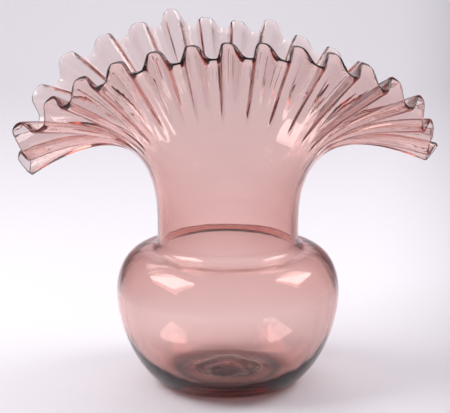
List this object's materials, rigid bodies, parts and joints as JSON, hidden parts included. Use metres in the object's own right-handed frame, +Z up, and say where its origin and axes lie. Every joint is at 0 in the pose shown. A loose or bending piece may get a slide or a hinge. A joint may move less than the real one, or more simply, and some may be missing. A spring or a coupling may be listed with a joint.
{
  "type": "fan vase",
  "caption": "Hand-blown pink glass vase: a round bowl with a kicked foot, a short jacked neck and a wide crimped mouth that fans out to both sides.",
  "frame": {"origin": "on the table under the bowl's axis, at the middle of the foot", "axes": "+Z up along the bowl's axis, +X along the spread of the fan, +Y through the fan from its front to its back"},
  "size_m": [0.2214, 0.1303, 0.1935],
  "materials": {
    "pink_glass": "polished"
  },
  "bodies": {
    "root": {"base": "pink_glass", "bowl": "pink_glass", "neck": "pink_glass", "fan_rim": "pink_glass", "lip_bead": "pink_glass"}
  },
  "joints": []
}
